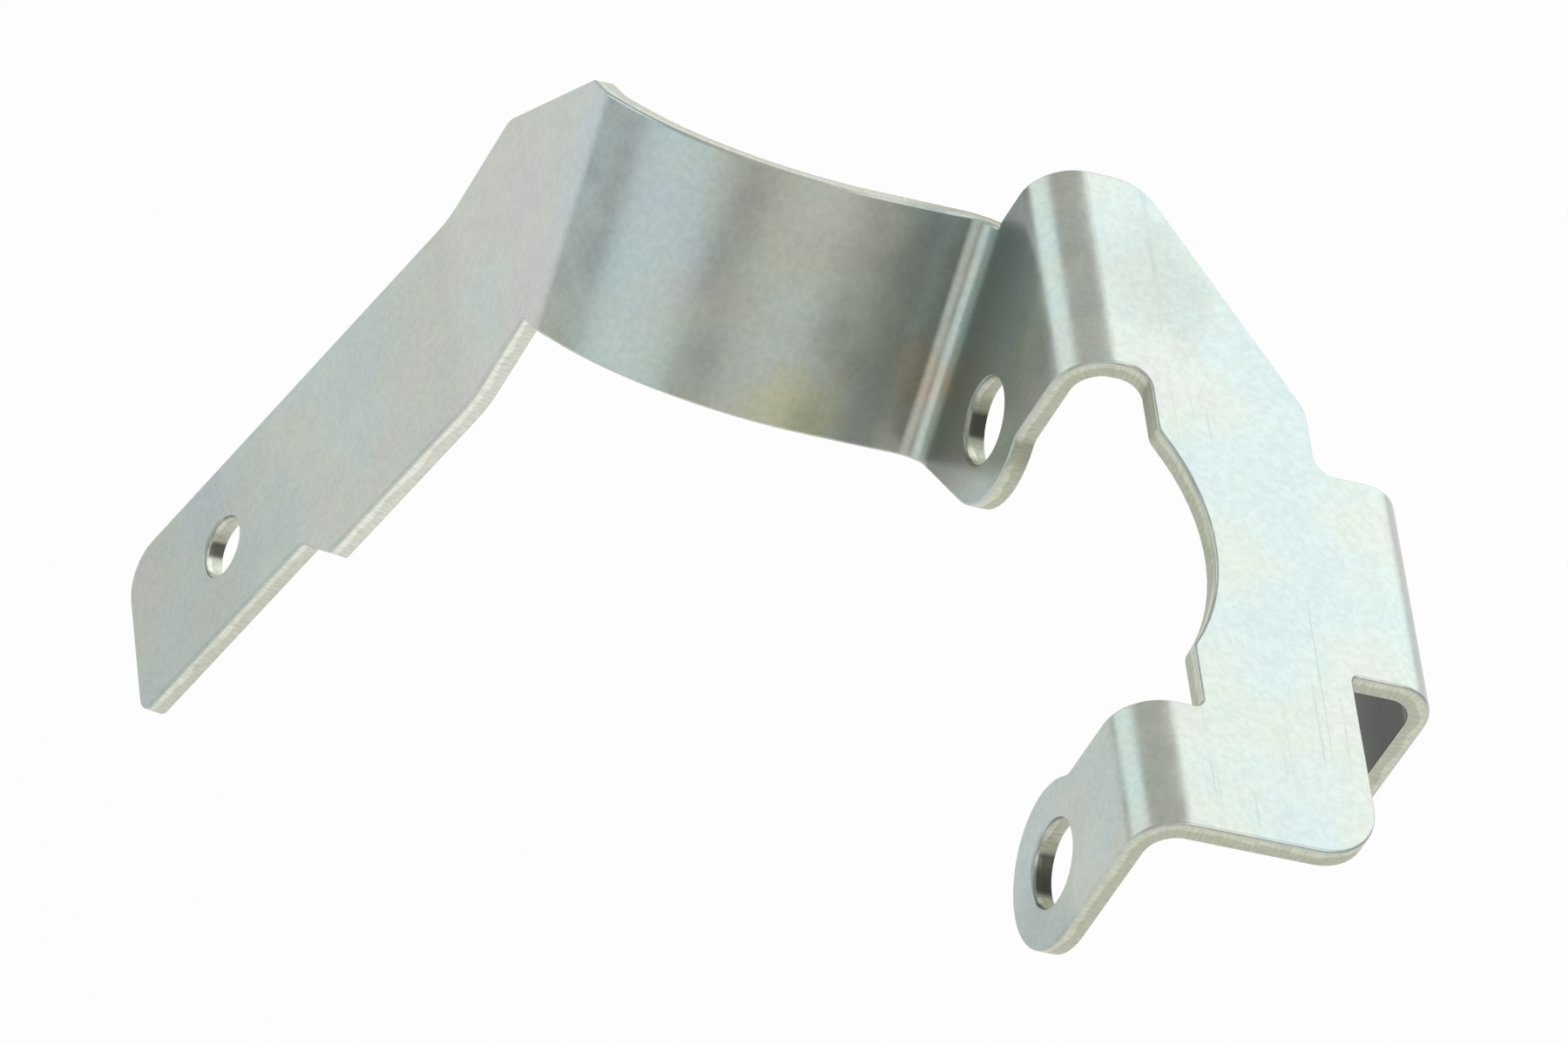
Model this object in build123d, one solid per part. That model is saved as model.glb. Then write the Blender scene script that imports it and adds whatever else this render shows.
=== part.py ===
from build123d import *
import os
from math import cos, radians, sin, sqrt, tan

# Stamped sheet-steel bracket, folded from one blank, in millimetres.
#
# Frame: the origin lies midway between the two tab holes, on the outer face of the tabs.
# +X runs across the plate, away from the tabs, +Y runs along the row of tab holes, and +Z is
# the normal of the plate's front face. The sheet is followed from fold to fold with planes that
# lie across it: their X goes into the sheet from its near face, which is the plate's front
# face and what follows on from it, and their Z goes on along the sheet.

# Sheet
SHEET = 3.0  # thickness of the steel
FOLD_INSIDE = 4.0  # inside radius of the folds along the plate
SHARP_CORNER = 1.0  # corner radius of the punch where the blank has a plain corner

# Plate and its window
PLATE_WIDTH = 34.0  # from the tabs' outer face to the plate's free edge
PLATE_RISE = 24.8  # top edge above the upper hole's axis
SHOULDER = 27.4  # height at which the free edge turns into the slope
TOP_WIDTH = 14.6  # from the tabs' outer face to where the slope meets the top edge
TOP_CORNER = 7.0
SHOULDER_CORNER = 6.0
FOOT_CORNER = 9.0
WINDOW_EDGE = 11.2  # upright edges of the window, from the tabs' outer face
WINDOW_TOP_CORNER = 3.0
WINDOW_FOOT_CORNER = 1.5
WINDOW_ROUND = 33.0  # radius of the clearance for the round body between the tabs
WINDOW_REACH = 16.7  # how far that clearance reaches from the tabs' outer face
WINDOW_BLEND = 2.5  # rounding where the clearance meets the upright edges

# Hook flange on the plate's free edge
HOOK_STANDOFF = 14.0  # outer face of its return leg, past the plate's free edge
HOOK_TOP = 16.5
HOOK_BOTTOM = -18.0
HOOK_DEPTH = 25.0  # from the plate's front face to the end of the leg
HOOK_RELIEF = 3.0  # rounding where the hook leaves the plate
HOOK_END_CORNER = 2.0

# Tabs
TAB_HOLE = 12.0
TAB_HOLE_PITCH = 75.0
TAB_SETBACK = 25.0  # hole axes behind the plate's front face
TAB_LOBE = 11.5  # radius of the rounded end about each hole
LOBE_STEP = 2.5  # how far a lobe stands out past the straight edge of its tab
LOBE_BLEND = 3.0  # rounding where a lobe meets the straight edge of its tab

# Strap that leaves the upper tab
STRAP_WIDTH = 34.0
STRAP_LEAN = 58.0  # lean of its fold line from the row of tab holes
STRAP_OFFSET = 17.7  # inside corner of its first fold from the upper hole's axis
STRAP_FOLD_INSIDE = 3.0
STRAP_RUN = 16.0  # straight run from the tab's face to the start of the curve
STRAP_CURVE = 32.0  # radius of the curve on the near face
STRAP_TURN = 70.0
STRAP_TAIL = 5.0  # straight run from the curve to the corner of the last fold
ARM_FOLD_INSIDE = 3.0

# Arm
HEEL_RUN = 4.5  # strap's lower edge carried on to the arm's lower edge
ARM_WIDTH = 33.3
ARM_EDGE_RUN = 6.3  # strap edge carried on past the last fold's corner
ARM_SHOULDER = 21.4  # from the slope's upper end to the flare's corner line
ARM_CORNER = 5.0
FLARE_LINE = 54.0  # flare's corner line behind the hole axes
FLARE_ANGLE = 10.0
FLARE_INSIDE = 30.0
ARM_LENGTH = 83.5  # from the flare's corner line to the tip
ARM_STEP_DEPTH = 6.3  # how much narrower the arm's end is
ARM_STEP = 35.4  # start of the step to the narrow end, from the flare's corner line
ARM_STEP_ANGLE = 45.0
ARM_HOLE = 9.0
ARM_HOLE_TO_TIP = 23.2
TIP_CORNER = 6.5
TIP_FOOT_CORNER = 2.5

# Sizes that follow from those
FOLD_OUTSIDE = FOLD_INSIDE + SHEET
ARM_FOLD_ANGLE = 90 - STRAP_TURN
ARM_FOLD_SETBACK = (ARM_FOLD_INSIDE + SHEET) * tan(radians(ARM_FOLD_ANGLE / 2))
PLATE_FRONT = TAB_SETBACK
HOLE_HEIGHT = TAB_HOLE_PITCH / 2
PLATE_TOP = HOLE_HEIGHT + PLATE_RISE
PLATE_BOTTOM = -HOLE_HEIGHT - TAB_LOBE
HOOK_REACH = PLATE_WIDTH + HOOK_STANDOFF
WINDOW_TOP = HOLE_HEIGHT - TAB_LOBE + LOBE_STEP
ARM_END_WIDTH = ARM_WIDTH - ARM_STEP_DEPTH
FAR = 400.0  # longer than any cut has to be


def outline(*corners):
    """Flat face through the corners (x, y, radius), each corner rounded where it has a radius."""
    face = make_face(Polyline(*[(x, y) for x, y, _ in corners], close=True))
    for x, y, radius in corners:
        if radius:
            face = fillet(face.vertices().sort_by_distance((x, y, 0))[0], radius)
    return face


def section(low, high):
    """Cut through the sheet, from low to high along the fold line."""
    return Pos(SHEET / 2, (low + high) / 2) * Rectangle(SHEET, high - low)


def straight(start, low, high, length):
    """Carry the sheet straight on; gives the solid and the plane at its far end."""
    return start * extrude(section(low, high), length), start.offset(length)


def fold(start, low, high, angle, inside):
    """Fold the sheet, away from its near face, or towards it if the angle is negative."""
    centre = SHEET + inside if angle > 0 else -inside
    turn = 1 if angle > 0 else -1
    axis = Axis((centre, 0, 0), (0, turn, 0))
    solid = start * revolve(section(low, high), axis, abs(angle))
    end = Plane(start.location * Pos(centre, 0, 0) * Rot(0, angle, 0) * Pos(-centre, 0, 0))
    return solid, end


def near_face(across):
    """Plane of the near face at a plane across the sheet: X goes on along the sheet."""
    return Plane(origin=across.origin, x_dir=across.z_dir, z_dir=across.x_dir)


def flat(plane, face):
    """Flat stretch of the sheet, behind its outline on the near face."""
    return plane * extrude(face, SHEET)


def window():
    """Outline of the window, open towards the tabs."""
    upright = outline(
        (0, -WINDOW_TOP, 0),
        (WINDOW_EDGE, -WINDOW_TOP, WINDOW_FOOT_CORNER),
        (WINDOW_EDGE, WINDOW_TOP, WINDOW_TOP_CORNER),
        (0, WINDOW_TOP, 0),
    )
    clearance = Pos(WINDOW_REACH - WINDOW_ROUND, 0) * Circle(WINDOW_ROUND)
    opening = upright + clearance
    half_chord = sqrt(WINDOW_ROUND**2 - (WINDOW_ROUND - WINDOW_REACH + WINDOW_EDGE) ** 2)
    for side in (1, -1):
        meeting = opening.vertices().sort_by_distance((WINDOW_EDGE, side * half_chord, 0))[0]
        opening = fillet(meeting, WINDOW_BLEND)
    return opening


def plate():
    face = outline(
        (FOLD_OUTSIDE, PLATE_BOTTOM, 0),
        (PLATE_WIDTH, PLATE_BOTTOM, FOOT_CORNER),
        (PLATE_WIDTH, HOOK_BOTTOM, SHARP_CORNER),
        (HOOK_REACH - FOLD_OUTSIDE, HOOK_BOTTOM, 0),
        (HOOK_REACH - FOLD_OUTSIDE, HOOK_TOP, 0),
        (PLATE_WIDTH, HOOK_TOP, HOOK_RELIEF),
        (PLATE_WIDTH, SHOULDER, SHOULDER_CORNER),
        (TOP_WIDTH, PLATE_TOP, TOP_CORNER),
        (FOLD_OUTSIDE, PLATE_TOP, 0),
    )
    front = Plane(origin=(0, 0, PLATE_FRONT), x_dir=(1, 0, 0), z_dir=(0, 0, 1))
    return front * extrude(face - window(), -SHEET)


def hook():
    """Fold and return leg on the plate's free edge."""
    start = Plane(
        origin=(HOOK_REACH - FOLD_OUTSIDE, 0, PLATE_FRONT), x_dir=(0, 0, -1), z_dir=(1, 0, 0)
    )
    bend, end = fold(start, HOOK_BOTTOM, HOOK_TOP, 90, FOLD_INSIDE)
    length = HOOK_DEPTH - FOLD_OUTSIDE
    leg = outline(
        (0, -HOOK_BOTTOM, 0),
        (0, -HOOK_TOP, 0),
        (length, -HOOK_TOP, HOOK_END_CORNER),
        (length, -HOOK_BOTTOM, HOOK_END_CORNER),
    )
    return bend + flat(near_face(end), leg)


def tab_fold(low, high):
    """Fold from the plate into a tab, and the plane across the sheet at its end."""
    start = Plane(origin=(FOLD_OUTSIDE, 0, PLATE_FRONT), x_dir=(0, 0, -1), z_dir=(-1, 0, 0))
    return fold(start, -high, -low, 90, FOLD_INSIDE)


def tab_blank(side, edge):
    """Lobe about a tab hole, with the straight part of the tab up to the plate's outer edge."""
    lobe = Pos(side * HOLE_HEIGHT, 0) * Circle(TAB_LOBE)
    width = abs(edge - side * WINDOW_TOP)
    depth = TAB_SETBACK - FOLD_OUTSIDE
    straight_part = Pos((edge + side * WINDOW_TOP) / 2, depth / 2) * Rectangle(width, depth)
    blank = lobe + straight_part
    meeting = sqrt(TAB_LOBE**2 - (HOLE_HEIGHT - WINDOW_TOP) ** 2)
    corner = blank.vertices().sort_by_distance((side * WINDOW_TOP, meeting, 0))[0]
    return fillet(corner, LOBE_BLEND)


def lower_tab():
    bend, _ = tab_fold(PLATE_BOTTOM, -WINDOW_TOP)
    return bend + flat(Plane.YZ, tab_blank(-1, PLATE_BOTTOM))


def strap_start():
    """Plane across the sheet where the upper tab ends and the strap's first fold starts."""
    lean = radians(STRAP_LEAN)
    on = Vector(0, sin(lean), -cos(lean))
    hole = Vector(0, HOLE_HEIGHT, 0)
    return Plane(origin=hole + on * (STRAP_OFFSET - STRAP_FOLD_INSIDE), x_dir=(1, 0, 0), z_dir=on)


def upper_tab():
    bend, _ = tab_fold(WINDOW_TOP, PLATE_TOP)
    start = near_face(strap_start())
    root_length = STRAP_OFFSET - STRAP_FOLD_INSIDE
    root_middle = STRAP_WIDTH / 2 - TAB_LOBE
    root = start * (Pos(-root_length / 2, root_middle) * Rectangle(root_length, STRAP_WIDTH))
    beyond = start * (Pos(FAR / 2, 0) * Rectangle(FAR, FAR))
    above = Plane.YZ * (Pos(0, TAB_SETBACK - FOLD_OUTSIDE + FAR / 2) * Rectangle(FAR, FAR))
    blank = Plane.YZ * tab_blank(1, PLATE_TOP)
    return bend + extrude(blank + root - beyond - above, SHEET, (1, 0, 0))


def strap():
    """Strap from the upper tab to the arm, and the plane across the sheet at its end."""
    low, high = TAB_LOBE - STRAP_WIDTH, TAB_LOBE
    first, at = fold(strap_start(), low, high, -90, STRAP_FOLD_INSIDE)
    run, at = straight(at, low, high, STRAP_RUN - STRAP_FOLD_INSIDE)
    curve, at = fold(at, low, high, STRAP_TURN, STRAP_CURVE - SHEET)
    tail, at = straight(at, low, high, STRAP_TAIL - ARM_FOLD_SETBACK)
    last, at = fold(at, low, high, ARM_FOLD_ANGLE, ARM_FOLD_INSIDE)
    return first + run + curve + tail + last, at


def arm(start):
    """Arm from the strap's end to its tip: a flat stretch, the flare and the end with the hole."""
    on, down, face_x = start.z_dir, start.y_dir, start.origin.X
    flare_setback = FLARE_INSIDE * tan(radians(FLARE_ANGLE / 2))
    flare_start = FLARE_LINE - flare_setback

    upper_end = start.origin + down * (TAB_LOBE - STRAP_WIDTH)
    lower_end = start.origin + down * TAB_LOBE
    slope_foot = upper_end + on * (ARM_EDGE_RUN - ARM_FOLD_SETBACK)
    heel = lower_end + on * HEEL_RUN
    bottom = heel.Y
    top = bottom + ARM_WIDTH
    end_bottom = top - ARM_END_WIDTH
    face = outline(
        (upper_end.Y, upper_end.Z, 0),
        (slope_foot.Y, slope_foot.Z, SHARP_CORNER),
        (top, ARM_SHOULDER - FLARE_LINE, ARM_CORNER),
        (top, -flare_start, 0),
        (bottom, -flare_start, 0),
        (bottom, heel.Z, SHARP_CORNER),
        (lower_end.Y, lower_end.Z, 0),
    )
    near = Plane(origin=(face_x, 0, 0), x_dir=(0, 1, 0), z_dir=(1, 0, 0))

    at = Plane(origin=(face_x, 0, -flare_start), x_dir=(1, 0, 0), z_dir=(0, 0, -1))
    flare, at = fold(at, -top, -bottom, -FLARE_ANGLE, FLARE_INSIDE)

    step_start = ARM_STEP - flare_setback
    step_end = step_start + ARM_STEP_DEPTH / tan(radians(ARM_STEP_ANGLE))
    tip = ARM_LENGTH - flare_setback
    end_face = outline(
        (0, top, 0),
        (tip, top, TIP_CORNER),
        (tip, end_bottom, TIP_FOOT_CORNER),
        (step_end, end_bottom, SHARP_CORNER),
        (step_start, bottom, SHARP_CORNER),
        (0, bottom, 0),
    )
    hole = Pos(tip - ARM_HOLE_TO_TIP, (top + end_bottom) / 2) * Circle(ARM_HOLE / 2)
    return flat(near, face) + flare + flat(near_face(at), end_face - hole)


def tab_holes():
    bore = Plane.YZ * extrude(Circle(TAB_HOLE / 2), SHEET, both=True)
    return [Pos(0, side * HOLE_HEIGHT, 0) * bore for side in (-1, 1)]


def build():
    strap_body, strap_end = strap()
    body = plate() + hook() + lower_tab() + upper_tab() + strap_body + arm(strap_end)
    return body - tab_holes()


if __name__ == "__main__":
    os.makedirs("parts", exist_ok=True)
    bracket = build()
    print(bracket.is_valid, bracket.volume, len(bracket.solids()))
    export_step(bracket, "parts/bracket.step")
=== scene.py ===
import math

import bmesh
import bpy
from mathutils import Matrix, Vector
from mathutils.geometry import intersect_point_line

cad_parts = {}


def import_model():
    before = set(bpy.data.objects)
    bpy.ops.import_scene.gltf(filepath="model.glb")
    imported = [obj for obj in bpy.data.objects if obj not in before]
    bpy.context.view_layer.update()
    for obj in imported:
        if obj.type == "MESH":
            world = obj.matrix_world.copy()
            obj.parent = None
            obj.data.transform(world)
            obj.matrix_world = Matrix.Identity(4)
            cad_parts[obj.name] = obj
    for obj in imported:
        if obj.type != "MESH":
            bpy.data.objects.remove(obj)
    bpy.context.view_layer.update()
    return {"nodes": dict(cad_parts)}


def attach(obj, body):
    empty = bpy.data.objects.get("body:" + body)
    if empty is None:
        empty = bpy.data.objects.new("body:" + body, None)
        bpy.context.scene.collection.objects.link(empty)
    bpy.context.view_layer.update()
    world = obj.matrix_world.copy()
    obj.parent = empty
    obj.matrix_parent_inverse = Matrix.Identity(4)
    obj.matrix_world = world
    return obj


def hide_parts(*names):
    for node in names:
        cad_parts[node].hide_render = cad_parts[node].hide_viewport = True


# Metres, in the part's own frame: the origin lies midway between the tab holes, +X runs across
# the plate away from the tabs, +Y towards the strap, and +Z out of the plate's front face.
# "across", "along" and "rise" below are those three. A fade is the two places between which a
# share changes, with its value at each where that isn't 0 and 1. A noise is its scale and detail,
# with its stretch where it has one.

MM = 0.001

# Camera: a long lens from above the front of the plate
CAMERA_PLACE = (-0.62835, -0.99903, 1.06392)
CAMERA_TURN = (42.621, -24.108, -6.601)  # degrees about X, then Y, then Z
LENS = 280.0
SENSOR = 36.0
VIEW_END = 50.0

# Sheet and its edges
PLATE_FRONT = 25 * MM
SHEET = 3 * MM
MERGE = 0.002 * MM
LEVEL = 0.01 * MM
FLAT = math.radians(0.3)  # neighbours that lean less than this are one flat face
FOLLOWS = math.radians(40)  # neighbours that lean more than this meet at a cut edge
NEAR_ROLL = 0.4 * MM  # rounding where the punch entered the sheet
FAR_ROLL_SHARE = 0.3  # rounding on the far face, as a share of that
ROLL_SEGMENTS = 3

# Plating
TINTS = (  # places along a noise, and colours
    (0.36, (0.488, 0.555, 0.556)),
    (0.46, (0.505, 0.57, 0.54)),
    (0.56, (0.53, 0.565, 0.505)),
    (0.68, (0.54, 0.54, 0.525)),
)
# Painted reflections: blue, yellow and tan colours standing in for the surroundings that the
# strap's curve mirrors
STRAP_BLUE_REFLECTION = (0.47, 0.55, 0.6, 1)
STRAP_YELLOW_REFLECTION = (0.57, 0.58, 0.41, 1)
STRAP_TAN_REFLECTION = (0.6, 0.51, 0.41, 1)
# Painted shade: a dark colour laid where shade falls
PAINTED_SHADE = (0.068, 0.076, 0.066, 1)
# Painted reflections on the strap, and painted shade on the arm, the lower tab and the plate beside
# its upper fold
PAINTED_LIGHT_PATCHES = (  # centre and reach, colour, and the share of it at the centre
    ((-45 * MM, 74 * MM, -10 * MM), 22 * MM, STRAP_BLUE_REFLECTION, 0.6),
    ((-17.5 * MM, 48 * MM, -16 * MM), 9 * MM, STRAP_YELLOW_REFLECTION, 0.8),
    ((-3.5 * MM, 53 * MM, -9 * MM), 7 * MM, STRAP_TAN_REFLECTION, 0.65),
    ((-61 * MM, 90 * MM, -130 * MM), 44 * MM, PAINTED_SHADE, 0.15),
    ((0, -44 * MM, -5 * MM), 14 * MM, PAINTED_SHADE, 0.2),
    ((15 * MM, 45 * MM, 25 * MM), 13 * MM, PAINTED_SHADE, 0.13),
)
PATCH_CORE = 0.3  # share of a patch's reach that has its full colour
PATCH_WANDER = 16 * MM  # how far a cloud shifts a patch's edge
NOISE_SPAN = (0.3, 0.7)  # where most of a noise lies
BLOTCHES = (48, 4.0)
CLOUDS = (150, 4.0)
GRAIN = (1100, 2.0)
CLOUD_SHADE = (-0.04, 0.04)
GRAIN_SHADE = (0.95, 1.04)
ROUGHNESS = (0.26, 0.34)
BUMP = 0.35
BUMP_HEIGHT = 0.02 * MM
BUMP_OF_GRAIN = 0.5
BUMP_OF_SCORES = 1.5

# Cut faces: their depth is 0 at the near face and 1 at the far one
CUT = (0.545, 0.565, 0.455, 1)
# Painted highlight: a lighter copy of the cut colour for the arm's cut faces, standing in for the
# light that falls on them
CUT_LIT_ON_ARM = (0.74, 0.76, 0.67, 1)
CUT_START = (0.1, 0.22)
CUT_END = (0.98, 0.93)
ARM_FADE = (-4 * MM, -15 * MM)  # across, from the tabs to the arm
TIP_FADE = (-110 * MM, -80 * MM, 0.5, 1.0)  # rise, from the arm's tip
STREAKS = (1.0, 3.0, (2600, 1.5, 1))  # stretch along the rim and down the depth
STREAK_SHADE = (0.88, 1.08)
TEARS = (1.0, 2.0, (160, 0, 0))
TEAR_DEPTH = (0.3, 0.5)  # the sheet was sheared to here and tore below
TEAR_BLEND = 0.08
SHEARED_SHADE = 1.12
CUT_ROUGHNESS = (0.34, 0.5)  # where it was sheared and where it tore

# Painted shade inside the hook, between the strap and the upper tab, and in the holes
HOOK_CORNER = (41 * MM, 0, 18 * MM)
HOOK_FADE = (6 * MM, 24 * MM, 1.0, 0.65)  # out from that corner
HOOK_END = (30 * MM, 24 * MM)
FAR_FACE = (0.97, 0.99)  # depth
STRAP_FACING = (0, -0.848, 0.53)  # out of the strap's face where it joins the upper tab
STRAP_FACE = -49.2 * MM  # how far along that the face lies
STRAP_FADE = (-16 * MM, -9 * MM, 0.0, 0.3)  # across, towards the strap's first fold
STRAP_END = (-5 * MM, -8 * MM)
STRAP_NEAR = (2 * MM, 1 * MM)  # out from the strap's face
TAB_FADE = (26 * MM, 4 * MM, 0.0, 0.66)  # out from the strap's face
TAB_END = (2 * MM, 4 * MM)
TAB_NEAR = (0.5 * MM, 0.1 * MM)  # across, from the tab's outer face
HOLES = (  # centre halfway through the sheet, radius with that half added, foot of the wall's painted shade
    ((1.5 * MM, -37.5 * MM, 0), 6.19 * MM, -0.8),
    ((1.5 * MM, 37.5 * MM, 0), 6.19 * MM, -0.5),
    ((-55.3 * MM, 92.8 * MM, -113.9 * MM), 4.75 * MM, -0.4),
)
WALL_RISE = (0, 0.7071, 0.7071)  # across the hole walls, from the foot of the painted shade to its top
WALL_EDGE = (0.5 * MM, 0.3 * MM)  # past a hole's radius
WALL_DEPTH = (0.15, 0.3)
WALL_TOP = (0.2, 0.05, 0.0, 0.85)  # along the rise, in radii
WALL_FOOT = 0.15  # length of the fade above the foot, in radii

# Marks that folding left on the plate's face
SCORED = (0.36, 0.41, 0.38, 1)
SCUFFS = (1.0, 1.0, (1900, 16, 0))  # stretch across and along the plate
SCUFF_FADE = (0.62, 0.72)
SCUFFED = (60, 1.0)  # patches that have scuffs
SCUFFED_FADE = (0.46, 0.58, 0.0, 0.5)
DIE_LINE = 14.5 * MM  # across: line beside the upper fold
DIE_EDGE = (0.7 * MM, 0.2 * MM)  # to either side of it
DIE_FADE = (38 * MM, 46 * MM, 0.0, 0.3)  # along
FACE_FADE = (PLATE_FRONT - 1 * MM, PLATE_FRONT)  # rise

# Room and floor
WHITE = (1, 1, 1, 1)
ROOM = (1.0, 0.985, 0.93, 1)
ROOM_FADE = (0.2, 0.7, 0.52, 0.68)  # steepness of the view, and the room's strength
PAPER = (0.9, 0.9, 0.9, 1)
FLOOR_HEIGHT = -0.55
FLOOR_LEFT = -0.9
FLOOR_REACH = 5.0
FLOOR_WHITE = 0.9  # share of plain white that a view or a mirror image of the floor gets

# Lamps
BRACKET_MIDDLE = (-0.007, 0.03, -0.05)
LAMP_DISTANCE = 1.2
LAMPS = (  # name, direction from the bracket, width and height, brightness, colour
    ("over_plate", (0.6, 0.638, 0.48), (1.2, 1.0), 1.15, (0.89, 0.95, 1.0)),
    ("over_front", (0.4, -0.42, 0.82), (0.5, 1.2), 1.0, (1.0, 1.0, 1.0)),
    ("behind_strap", (-0.765, 0.638, 0.08), (0.8, 0.9), 0.9, (0.83, 0.95, 1.0)),
    ("in_front", (-0.15, -0.94, 0.28), (0.8, 1.1), 0.26, (1.0, 0.98, 0.92)),
    ("left", (-0.955, -0.28, -0.07), (0.75, 1.0), 0.56, (0.8, 0.95, 1.0)),
)


def sheet_face(bm, height):
    """Faces of one side of the sheet, from its largest flat face at a height to the cut edges."""
    level = [f for f in bm.faces if all(abs(v.co.z - height) < LEVEL for v in f.verts)]
    start = max(level, key=lambda f: f.calc_area())
    region = {start}
    waiting = [start]
    while waiting:
        for edge in waiting.pop().edges:
            if edge.calc_face_angle(math.pi) > FOLLOWS:
                continue
            for other in edge.link_faces:
                if other not in region:
                    region.add(other)
                    waiting.append(other)
    return region


def rim_runs(bm, near):
    """Length along the near face's rims up to each of their vertices, and each rim's length."""
    rim = dict.fromkeys(e for e in bm.edges if sum(f in near for f in e.link_faces) == 1)
    runs, totals = {}, {}
    while rim:
        edge = next(iter(rim))
        del rim[edge]
        first, tip = edge.verts
        length = edge.calc_length()
        loop = [first, tip]
        runs[first], runs[tip] = 0.0, length
        while True:
            step = next((e for e in tip.link_edges if e in rim), None)
            if step is None:
                break
            del rim[step]
            tip = step.other_vert(tip)
            length += step.calc_length()
            if tip is first:
                break
            runs[tip] = length
            loop.append(tip)
        totals.update((vert, length) for vert in loop)
    return runs, totals


def split_cut_faces(bm, near, far, runs):
    """Cut faces are split between the vertices of their two rims that lie nearest each other."""
    for face in [f for f in bm.faces if f not in near and f not in far]:
        fronts = [v for v in face.verts if v in runs]
        backs = [v for v in face.verts if v not in runs]
        if len(fronts) < 3 or len(backs) < 3:
            continue
        for front in fronts:
            back = min(backs, key=lambda v: (v.co - front.co).length)
            if min(fronts, key=lambda v: (v.co - back.co).length) is not front:
                continue
            shared = [f for f in front.link_faces if back in f.verts]
            if len(shared) == 1:
                bmesh.utils.face_split(shared[0], front, back)


def map_cut_faces(bm, near, far):
    """Cut faces get a map: U runs along the rim and V from the near face to the far one."""
    layer = bm.loops.layers.uv.new("cut_map")
    runs, totals = rim_runs(bm, near)
    split_cut_faces(bm, near, far, runs)
    for face in bm.faces:
        if face in near or face in far:
            depth = 0.0 if face in near else 1.0
            for corner in face.loops:
                corner[layer].uv = (0.0, depth)
            continue
        ends = [v for v in face.verts if v in runs]
        total = totals[ends[0]]
        place = {v: runs[v] for v in ends}
        if max(place.values()) - min(place.values()) > total / 2:
            place = {v: run + total if run < total / 2 else run for v, run in place.items()}
        rims = [e for e in face.edges if all(v in place for v in e.verts)]
        for corner in face.loops:
            vert = corner.vert
            if vert in place:
                corner[layer].uv = (place[vert], 0.0)
                continue
            best = None
            for edge in rims:
                a, b = edge.verts
                _, share = intersect_point_line(vert.co, a.co, b.co)
                share = min(max(share, 0.0), 1.0)
                gap = (vert.co - a.co.lerp(b.co, share)).length
                if best is None or gap < best[0]:
                    best = (gap, place[a] + share * (place[b] - place[a]))
            corner[layer].uv = (best[1], 1.0)


def skin(node):
    """The pressing with its cut edges rounded as the punch leaves them."""
    mesh = node.data.copy()
    mesh.name = "bracket_skin"
    bm = bmesh.new()
    bm.from_mesh(mesh)
    bmesh.ops.remove_doubles(bm, verts=bm.verts, dist=MERGE)
    bmesh.ops.dissolve_limit(bm, angle_limit=FLAT, verts=bm.verts, edges=bm.edges)
    bm.normal_update()
    near = sheet_face(bm, PLATE_FRONT)
    far = sheet_face(bm, PLATE_FRONT - SHEET)
    map_cut_faces(bm, near, far)
    weight = bm.edges.layers.float.new("bevel_weight_edge")
    for face in bm.faces:
        face.smooth = True
    for edge in bm.edges:
        if sum(f in near for f in edge.link_faces) == 1:
            edge[weight] = 1.0
        elif sum(f in far for f in edge.link_faces) == 1:
            edge[weight] = FAR_ROLL_SHARE
    bm.to_mesh(mesh)
    bm.free()
    piece = bpy.data.objects.new("bracket_skin", mesh)
    bpy.context.scene.collection.objects.link(piece)
    roll = piece.modifiers.new("roll", "BEVEL")
    roll.limit_method = "WEIGHT"
    roll.width = NEAR_ROLL
    roll.segments = ROLL_SEGMENTS
    normals = piece.modifiers.new("normals", "WEIGHTED_NORMAL")
    normals.mode = "FACE_AREA"
    normals.weight = 100
    return piece


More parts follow.
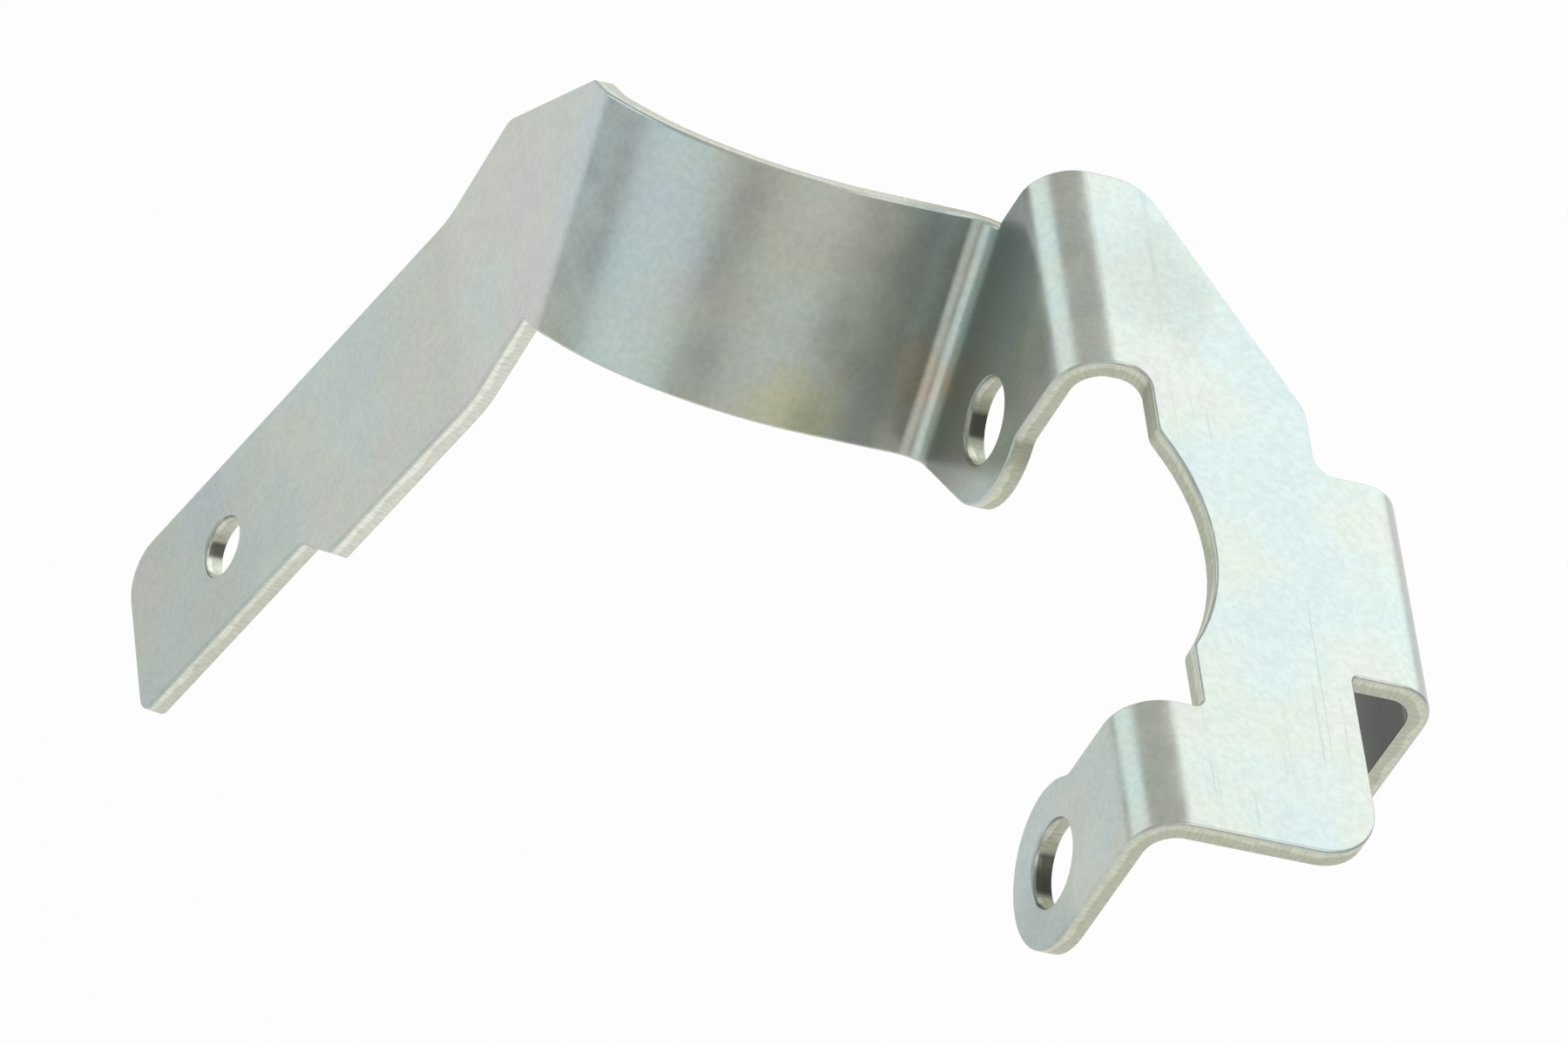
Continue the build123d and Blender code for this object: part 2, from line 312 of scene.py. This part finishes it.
class Nodes:
    """Adds shader nodes to a tree and joins them."""

    def __init__(self, tree):
        self.tree = tree
        tree.nodes.clear()

    def add(self, kind, **settings):
        node = self.tree.nodes.new(kind)
        for key, value in settings.items():
            setattr(node, key, value)
        return node

    def join(self, source, target):
        self.tree.links.new(source, target)

    def feed(self, socket, value):
        """Sets a socket, or joins it when the value comes from another node."""
        if isinstance(value, bpy.types.NodeSocket):
            self.join(value, socket)
        else:
            socket.default_value = value

    def math(self, operation, first, second=0.0):
        node = self.add("ShaderNodeMath", operation=operation)
        self.feed(node.inputs[0], first)
        self.feed(node.inputs[1], second)
        return node.outputs[0]

    def times(self, *values):
        product = values[0]
        for value in values[1:]:
            product = self.math("MULTIPLY", product, value)
        return product

    def ramp(self, value, low, high, out_low=0.0, out_high=1.0):
        """Smooth change from one value to another between two places."""
        node = self.add("ShaderNodeMapRange", interpolation_type="SMOOTHSTEP")
        for name, given in (
            ("Value", value),
            ("From Min", low),
            ("From Max", high),
            ("To Min", out_low),
            ("To Max", out_high),
        ):
            self.feed(node.inputs[name], given)
        return node.outputs["Result"]

    def parts(self, vector):
        """X, Y and Z of a vector."""
        node = self.add("ShaderNodeSeparateXYZ")
        self.join(vector, node.inputs["Vector"])
        return node.outputs[0], node.outputs[1], node.outputs[2]

    def stretched(self, place, scale):
        """A place with each of its parts multiplied."""
        node = self.add("ShaderNodeMapping")
        self.join(place, node.inputs["Vector"])
        node.inputs["Scale"].default_value = scale
        return node.outputs["Vector"]

    def distance(self, place, centre):
        node = self.add("ShaderNodeVectorMath", operation="DISTANCE")
        self.join(place, node.inputs[0])
        node.inputs[1].default_value = centre
        return node.outputs["Value"]

    def along(self, place, direction):
        """How far a place lies along a direction."""
        node = self.add("ShaderNodeVectorMath", operation="DOT_PRODUCT")
        self.join(place, node.inputs[0])
        node.inputs[1].default_value = direction
        return node.outputs["Value"]

    def noise(self, place, scale, detail, stretch=(1, 1, 1)):
        node = self.add("ShaderNodeTexNoise")
        self.join(self.stretched(place, stretch), node.inputs["Vector"])
        node.inputs["Scale"].default_value = scale
        node.inputs["Detail"].default_value = detail
        return node.outputs["Fac"]

    def colours(self, value, stops):
        """Colour ramp through places along a value."""
        node = self.add("ShaderNodeValToRGB")
        self.join(value, node.inputs["Fac"])
        marks = node.color_ramp.elements
        while len(marks) < len(stops):
            marks.new(0.5)
        for mark, (position, colour) in zip(marks, stops):
            mark.position = position
            mark.color = (*colour, 1)
        return node.outputs["Color"]

    def blend(self, share, first, second, kind="MIX"):
        node = self.add("ShaderNodeMix", data_type="RGBA", blend_type=kind)
        self.feed(node.inputs["Factor"], share)
        self.feed(node.inputs["A"], first)
        self.feed(node.inputs["B"], second)
        return node.outputs["Result"]

    def layer(self, share, first, second):
        """A share of the second shader over the first."""
        node = self.add("ShaderNodeMixShader")
        self.join(share, node.inputs["Fac"])
        self.join(first, node.inputs[1])
        self.join(second, node.inputs[2])
        return node.outputs["Shader"]


def cut_faces(n, cut_map, depth, across, rise):
    """Share that a point lies on a cut face, and that face's colour, roughness and scores."""
    streaks = n.noise(cut_map, *STREAKS)
    tear = n.ramp(n.noise(cut_map, *TEARS), *NOISE_SPAN, *TEAR_DEPTH)
    torn = n.ramp(depth, tear, n.math("ADD", tear, TEAR_BLEND))
    share = n.times(n.ramp(depth, *CUT_START), n.ramp(depth, *CUT_END))
    # Painted highlight: the arm's cut faces get the lighter copy of the cut colour
    arm_lit_share = n.times(n.ramp(across, *ARM_FADE), n.ramp(rise, *TIP_FADE))
    tint = n.blend(arm_lit_share, CUT, CUT_LIT_ON_ARM)
    tint = n.blend(1.0, tint, n.ramp(torn, 0.0, 1.0, SHEARED_SHADE, 1.0), "MULTIPLY")
    tint = n.blend(1.0, tint, n.ramp(streaks, *NOISE_SPAN, *STREAK_SHADE), "MULTIPLY")
    return share, tint, n.ramp(torn, 0.0, 1.0, *CUT_ROUGHNESS), n.times(share, streaks)


def hook_painted_shade(n, place, depth):
    """Share of painted shade inside the hook."""
    apart = n.distance(n.stretched(place, (1, 0, 1)), HOOK_CORNER)
    return n.times(n.ramp(apart, *HOOK_FADE), n.ramp(apart, *HOOK_END), n.ramp(depth, *FAR_FACE))


def corner_painted_shade(n, place, across):
    """Share of painted shade where the strap and the upper tab face each other."""
    out = n.math("SUBTRACT", n.along(place, STRAP_FACING), STRAP_FACE)
    off_strap = n.math("ABSOLUTE", out)
    off_tab = n.math("ABSOLUTE", across)
    strap = n.times(
        n.ramp(across, *STRAP_FADE), n.ramp(across, *STRAP_END), n.ramp(off_strap, *STRAP_NEAR)
    )
    tab = n.times(n.ramp(out, *TAB_FADE), n.ramp(out, *TAB_END), n.ramp(off_tab, *TAB_NEAR))
    return n.math("MAXIMUM", strap, tab)


def wall_painted_shade(n, place, depth, centre, radius, foot):
    """Share of painted shade halfway down the wall of a hole."""
    start, end = (radius + past for past in WALL_EDGE)
    wall = n.times(n.ramp(n.distance(place, centre), start, end), n.ramp(depth, *WALL_DEPTH))
    middle = Vector(centre).dot(Vector(WALL_RISE))
    up = n.math("DIVIDE", n.math("SUBTRACT", n.along(place, WALL_RISE), middle), radius)
    return n.times(wall, n.ramp(up, *WALL_TOP), n.ramp(up, foot, foot + WALL_FOOT))


# Painted shade in the hook, in the corner between the strap and the upper tab, and on the hole
# walls
def painted_shade_share(n, place, across, depth):
    share = n.math("MAXIMUM", hook_painted_shade(n, place, depth), corner_painted_shade(n, place, across))
    for hole in HOLES:
        share = n.math("MAXIMUM", share, wall_painted_shade(n, place, depth, *hole))
    return share


def draw_marks(n, place, across, along, rise):
    """Share of the marks on the plate's face, in line with its folds."""
    lines = n.ramp(n.noise(place, *SCUFFS), *SCUFF_FADE)
    scuffs = n.times(lines, n.ramp(n.noise(place, *SCUFFED), *SCUFFED_FADE))
    beside = n.math("ABSOLUTE", n.math("SUBTRACT", across, DIE_LINE))
    die = n.times(n.ramp(beside, *DIE_EDGE), n.ramp(along, *DIE_FADE))
    return n.times(n.math("MAXIMUM", scuffs, die), n.ramp(rise, *FACE_FADE))


def zinc():
    """Zinc plating with a blotchy blue, green and yellow tint, duller and yellower on cut faces,
    with painted reflections on the strap, painted shade in the hook, the strap's corner, the holes
    and on patches of the arm, lower tab and plate, and a painted highlight on the arm's cut faces.
    """
    material = bpy.data.materials.new("zinc_plating")
    material.use_nodes = True
    n = Nodes(material.node_tree)
    out = n.add("ShaderNodeOutputMaterial")
    bsdf = n.add("ShaderNodeBsdfPrincipled")
    n.join(bsdf.outputs["BSDF"], out.inputs["Surface"])
    bsdf.inputs["Metallic"].default_value = 1.0

    place = n.add("ShaderNodeTexCoord").outputs["Object"]
    across, along, rise = n.parts(place)
    cut_map = n.add("ShaderNodeUVMap", uv_map="cut_map").outputs["UV"]
    depth = n.parts(cut_map)[1]
    grain = n.noise(place, *GRAIN)
    cloud = n.noise(place, *CLOUDS)
    cut, cut_tint, cut_rough, scores = cut_faces(n, cut_map, depth, across, rise)

    colour = n.colours(n.noise(place, *BLOTCHES), TINTS)
    wander = n.times(n.math("SUBTRACT", cloud, 0.5), PATCH_WANDER)
    # Painted reflections and painted shade laid over the plating
    for centre, reach, tint, most in PAINTED_LIGHT_PATCHES:
        apart = n.math("ADD", n.distance(place, centre), wander)
        colour = n.blend(n.ramp(apart, reach, PATCH_CORE * reach, 0.0, most), colour, tint)
    shade = n.math(
        "ADD", n.ramp(grain, *NOISE_SPAN, *GRAIN_SHADE), n.ramp(cloud, *NOISE_SPAN, *CLOUD_SHADE)
    )
    colour = n.blend(1.0, colour, shade, "MULTIPLY")
    colour = n.blend(cut, colour, cut_tint)
    # Painted shade in the hook, the strap's corner and the hole walls
    colour = n.blend(painted_shade_share(n, place, across, depth), colour, PAINTED_SHADE)
    colour = n.blend(draw_marks(n, place, across, along, rise), colour, SCORED)
    n.join(colour, bsdf.inputs["Base Color"])

    mixed = n.add("ShaderNodeMix", data_type="FLOAT")
    n.join(cut, mixed.inputs["Factor"])
    n.join(n.ramp(cloud, *NOISE_SPAN, *ROUGHNESS), mixed.inputs["A"])
    n.join(cut_rough, mixed.inputs["B"])
    n.join(mixed.outputs["Result"], bsdf.inputs["Roughness"])

    # Grain of the sheet and scores down the cut faces
    bump = n.add("ShaderNodeBump")
    bump.inputs["Strength"].default_value = BUMP
    bump.inputs["Distance"].default_value = BUMP_HEIGHT
    height = n.math("ADD", n.times(grain, BUMP_OF_GRAIN), n.times(scores, BUMP_OF_SCORES))
    n.join(height, bump.inputs["Height"])
    n.join(bump.outputs["Normal"], bsdf.inputs["Normal"])
    return material


def seen_share(n):
    """1 for rays that look straight or by way of metal or glass, 0 for rays that light things."""
    path = n.add("ShaderNodeLightPath")
    seen = n.math("MAXIMUM", path.outputs["Is Camera Ray"], path.outputs["Is Glossy Ray"])
    return n.math("MAXIMUM", seen, path.outputs["Is Transmission Ray"])


def floor():
    """White paper below the bracket, which only its upper side shows."""
    middle, half = (FLOOR_REACH + FLOOR_LEFT) / 2, (FLOOR_REACH - FLOOR_LEFT) / 2
    place = Matrix.Translation((middle, 0, FLOOR_HEIGHT))
    bm = bmesh.new()
    bmesh.ops.create_grid(
        bm,
        x_segments=1,
        y_segments=1,
        size=1,
        matrix=place @ Matrix.Diagonal((half, FLOOR_REACH, 1, 1)),
    )
    mesh = bpy.data.meshes.new("floor")
    bm.to_mesh(mesh)
    bm.free()
    piece = bpy.data.objects.new("floor", mesh)
    bpy.context.scene.collection.objects.link(piece)

    material = bpy.data.materials.new("floor_paper")
    material.use_nodes = True
    n = Nodes(material.node_tree)
    out = n.add("ShaderNodeOutputMaterial")
    paper = n.add("ShaderNodeBsdfDiffuse")
    paper.inputs["Color"].default_value = PAPER
    white = n.add("ShaderNodeEmission")
    clear = n.add("ShaderNodeBsdfTransparent")
    below = n.add("ShaderNodeNewGeometry").outputs["Backfacing"]
    share = n.times(seen_share(n), FLOOR_WHITE)
    upper = n.layer(share, paper.outputs["BSDF"], white.outputs["Emission"])
    n.join(n.layer(below, upper, clear.outputs["BSDF"]), out.inputs["Surface"])
    mesh.materials.append(material)


def world():
    """A grey room that a view shows as white."""
    scene_world = bpy.data.worlds.new("studio")
    bpy.context.scene.world = scene_world
    scene_world.use_nodes = True
    n = Nodes(scene_world.node_tree)
    out = n.add("ShaderNodeOutputWorld")
    room = n.add("ShaderNodeBackground")
    room.inputs["Color"].default_value = ROOM
    way = n.add("ShaderNodeTexCoord").outputs["Generated"]
    steepness = n.math("ABSOLUTE", n.parts(way)[2])
    n.join(n.ramp(steepness, *ROOM_FADE), room.inputs["Strength"])
    white = n.add("ShaderNodeBackground")
    white.inputs["Color"].default_value = WHITE
    seen = n.add("ShaderNodeLightPath").outputs["Is Camera Ray"]
    both = n.layer(seen, room.outputs["Background"], white.outputs["Background"])
    n.join(both, out.inputs["Surface"])


def lamp(name, towards, size, brightness, colour):
    """Soft lamp that faces the bracket; its width runs round the Y axis and its height along Y."""
    light = bpy.data.lights.new(name, "AREA")
    light.shape = "RECTANGLE"
    light.size, light.size_y = size
    light.energy = brightness * math.pi * size[0] * size[1]
    light.color = colour
    piece = bpy.data.objects.new(name, light)
    way = Vector(towards).normalized()
    across = Vector((0, 1, 0)).cross(way).normalized()
    piece.location = Vector(BRACKET_MIDDLE) + way * LAMP_DISTANCE
    piece.rotation_euler = Matrix((across, way.cross(across), way)).transposed().to_euler()
    bpy.context.scene.collection.objects.link(piece)


def camera():
    lens = bpy.data.cameras.new("camera")
    lens.lens = LENS
    lens.sensor_width = SENSOR
    lens.clip_end = VIEW_END
    piece = bpy.data.objects.new("camera", lens)
    piece.location = CAMERA_PLACE
    piece.rotation_euler = [math.radians(angle) for angle in CAMERA_TURN]
    bpy.context.scene.collection.objects.link(piece)
    bpy.context.scene.camera = piece


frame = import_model()

bracket = skin(frame["nodes"]["bracket"])
bracket.data.materials.clear()
bracket.data.materials.append(zinc())
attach(bracket, "root")
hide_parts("bracket")

floor()
world()
for row in LAMPS:
    lamp(*row)
camera()

bpy.context.scene.view_settings.view_transform = "Standard"
